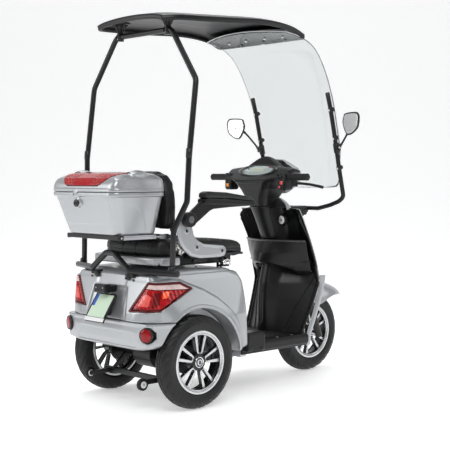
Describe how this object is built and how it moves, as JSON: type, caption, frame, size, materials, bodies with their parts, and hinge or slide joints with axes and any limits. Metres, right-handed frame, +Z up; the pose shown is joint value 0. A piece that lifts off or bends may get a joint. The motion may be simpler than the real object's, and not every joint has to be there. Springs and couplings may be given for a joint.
{
  "type": "mobility scooter",
  "caption": "Three-wheeled mobility scooter with a roof and windshield, padded armchair seat, handlebar steering, top box and sprung front fork.",
  "frame": {"origin": "middle of the footprint's bounding box, on the ground under the tyres", "axes": "+X forward, +Y to the rider's left, +Z up; the wheels turn about +Y"},
  "size_m": [1.6802, 0.929, 1.764],
  "materials": {
    "frame_black": "satin powder coat",
    "silver_paint": "metallic silver lacquer",
    "black_plastic": "fine grained moulding",
    "black_gloss": "satin black",
    "red_lens": "clear red lens",
    "plate": "blank retroreflective plate",
    "battery": "moulded case",
    "aluminium": "brushed",
    "clear_screen": "clear acrylic",
    "spring_steel": "bare",
    "steel": "zinc plated",
    "leather_black": "grained leatherette",
    "rubber": "matt",
    "tyre": "matt",
    "rim": "machined faces, black pockets",
    "display": "clear cover over a grey panel",
    "orange": "gloss",
    "red_button": "gloss",
    "mirror_shell": "satin"
  },
  "bodies": {
    "chassis": {"main_frame": "frame_black", "floor_board": "black_plastic", "rear_fairing": "silver_paint", "rear_bumper": "silver_paint", "tail_lamps": "red_lens", "number_plate": "plate", "battery_pack": "battery", "motor_controller": "aluminium", "leg_shield_inner": "black_plastic", "leg_shield_outer": "silver_paint", "storage_pocket": "black_plastic", "rear_bar": "frame_black", "canopy_uprights": "frame_black", "canopy_top_bar": "frame_black", "roof_panel": "black_plastic", "windshield": "clear_screen", "windshield_frame": "frame_black", "shock_bodies": "frame_black", "shock_springs": "spring_steel", "seat_rails": "steel"},
    "rear_suspension": {"rear_axle": "frame_black"},
    "rear_wheel_left": {"rear_tyre_left": "tyre", "rear_rim_left": "rim"},
    "rear_wheel_right": {"rear_tyre_right": "tyre", "rear_rim_right": "rim"},
    "anti_tip_left": {"anti_tip_wheel_left": "rubber"},
    "anti_tip_right": {"anti_tip_wheel_right": "rubber"},
    "seat": {"seat_frame": "frame_black", "seat_trim": "silver_paint", "seat_cushion": "leather_black", "seat_brackets": "silver_paint", "box_rack": "aluminium", "top_box_base": "silver_paint"},
    "back": {"backrest": "leather_black"},
    "lid": {"top_box_lid": "silver_paint", "lid_lens": "red_lens"},
    "lock": {"box_lock": "black_gloss"},
    "arm_left": {"armrest_left": "black_gloss", "armrest_pad_left": "leather_black"},
    "arm_right": {"armrest_right": "black_gloss", "armrest_pad_right": "leather_black"},
    "steering": {"steering_fork": "frame_black", "handlebar": "frame_black", "handlebar_cowl": "black_plastic", "headlamp_cowl": "silver_paint", "dash_display": "display", "switch_pods": "black_plastic", "front_fender": "silver_paint", "grip_left": "rubber"},
    "throttle": {"throttle_grip": "rubber"},
    "lever_left": {"brake_lever_left": "frame_black"},
    "lever_right": {"brake_lever_right": "frame_black"},
    "horn": {"horn_button": "orange"},
    "lamp_switch": {"lamp_button": "red_button"},
    "fork_lower": {"fork_sliders": "frame_black"},
    "front_wheel": {"front_tyre": "tyre", "front_rim": "rim"},
    "key": {"ignition_key": "steel"},
    "mirror_head_left": {"mirror_left": "mirror_shell"},
    "mirror_head_right": {"mirror_right": "mirror_shell"}
  },
  "joints": [
    {"name": "rear_suspension_travel", "type": "hinge", "parent": "chassis", "child": "rear_suspension", "pos_m": [-0.13, 0, 0.206], "axis": [0, 1, 0], "range_deg": [0, 3.4], "stiffness_Nm_per_rad": 6000, "springref_deg": -5.16, "deforming": ["shock_springs"]},
    {"name": "rear_wheel_left_spin", "type": "hinge", "parent": "rear_suspension", "child": "rear_wheel_left", "pos_m": [-0.45, 0.297, 0.206], "axis": [0, 1, 0], "continuous": true},
    {"name": "rear_wheel_right_spin", "type": "hinge", "parent": "rear_suspension", "child": "rear_wheel_right", "pos_m": [-0.45, -0.297, 0.206], "axis": [0, 1, 0], "continuous": true},
    {"name": "anti_tip_left_spin", "type": "hinge", "parent": "rear_suspension", "child": "anti_tip_left", "pos_m": [-0.658, 0.192, 0.117], "axis": [0, 1, 0], "continuous": true},
    {"name": "anti_tip_right_spin", "type": "hinge", "parent": "rear_suspension", "child": "anti_tip_right", "pos_m": [-0.658, -0.192, 0.117], "axis": [0, 1, 0], "continuous": true},
    {"name": "seat_slide", "type": "slide", "parent": "chassis", "child": "seat", "axis": [1, 0, 0], "range_m": [-0.02, 0.08]},
    {"name": "backrest_fold", "type": "hinge", "parent": "seat", "child": "back", "pos_m": [-0.486, 0, 0.758], "axis": [0, 1, 0], "range_deg": [0, 30]},
    {"name": "lid_hinge", "type": "hinge", "parent": "seat", "child": "lid", "pos_m": [-0.538, 0, 0.947], "axis": [0, 1, 0], "range_deg": [0, 45]},
    {"name": "box_lock_turn", "type": "hinge", "parent": "seat", "child": "lock", "pos_m": [-0.81, 0.04, 0.897], "axis": [1, 0, 0], "range_deg": [0, 90]},
    {"name": "armrest_left_flip", "type": "hinge", "parent": "seat", "child": "arm_left", "pos_m": [-0.47, 0.284, 0.825], "axis": [0, -1, 0], "range_deg": [0, 90]},
    {"name": "armrest_right_flip", "type": "hinge", "parent": "seat", "child": "arm_right", "pos_m": [-0.47, -0.284, 0.825], "axis": [0, -1, 0], "range_deg": [0, 90]},
    {"name": "steering_turn", "type": "hinge", "parent": "chassis", "child": "steering", "pos_m": [0.285, 0, 0.9], "axis": [-0.3714, 0, 0.9285], "range_deg": [-30, 30]},
    {"name": "fork_travel", "type": "slide", "parent": "steering", "child": "fork_lower", "axis": [-0.3714, 0, 0.9285], "range_m": [0, 0.03], "stiffness_N_per_m": 14000, "springref_m": -0.06},
    {"name": "front_wheel_spin", "type": "hinge", "parent": "fork_lower", "child": "front_wheel", "pos_m": [0.584, 0, 0.206], "axis": [0, 1, 0], "continuous": true},
    {"name": "throttle_twist", "type": "hinge", "parent": "steering", "child": "throttle", "pos_m": [0.23, -0.28, 1.008], "axis": [0, -1, 0], "range_deg": [0, 50], "stiffness_Nm_per_rad": 0.6, "springref_deg": -11.46},
    {"name": "brake_lever_left_pull", "type": "hinge", "parent": "steering", "child": "lever_left", "pos_m": [0.276, 0.203, 0.978], "axis": [0, 0, 1], "range_deg": [0, 14], "stiffness_Nm_per_rad": 2, "springref_deg": -11.46},
    {"name": "brake_lever_right_pull", "type": "hinge", "parent": "steering", "child": "lever_right", "pos_m": [0.276, -0.203, 0.978], "axis": [0, 0, -1], "range_deg": [0, 14], "stiffness_Nm_per_rad": 2, "springref_deg": -11.46},
    {"name": "horn_button_press", "type": "slide", "parent": "steering", "child": "horn", "axis": [1, 0, 0], "range_m": [0, 0.0008], "stiffness_N_per_m": 400, "springref_m": -0.001},
    {"name": "lamp_button_press", "type": "slide", "parent": "steering", "child": "lamp_switch", "axis": [1, 0, 0], "range_m": [0, 0.0008], "stiffness_N_per_m": 400, "springref_m": -0.001},
    {"name": "key_turn", "type": "hinge", "parent": "chassis", "child": "key", "pos_m": [0.34, -0.062, 0.793], "axis": [-1, 0, 0], "range_deg": [0, 80]},
    {"name": "mirror_left_turn", "type": "hinge", "parent": "chassis", "child": "mirror_head_left", "pos_m": [0.486, 0.385, 1.262], "axis": [0, 0, 1], "range_deg": [-12, 12]},
    {"name": "mirror_right_turn", "type": "hinge", "parent": "chassis", "child": "mirror_head_right", "pos_m": [0.486, -0.385, 1.262], "axis": [0, 0, 1], "range_deg": [-12, 12]}
  ]
}
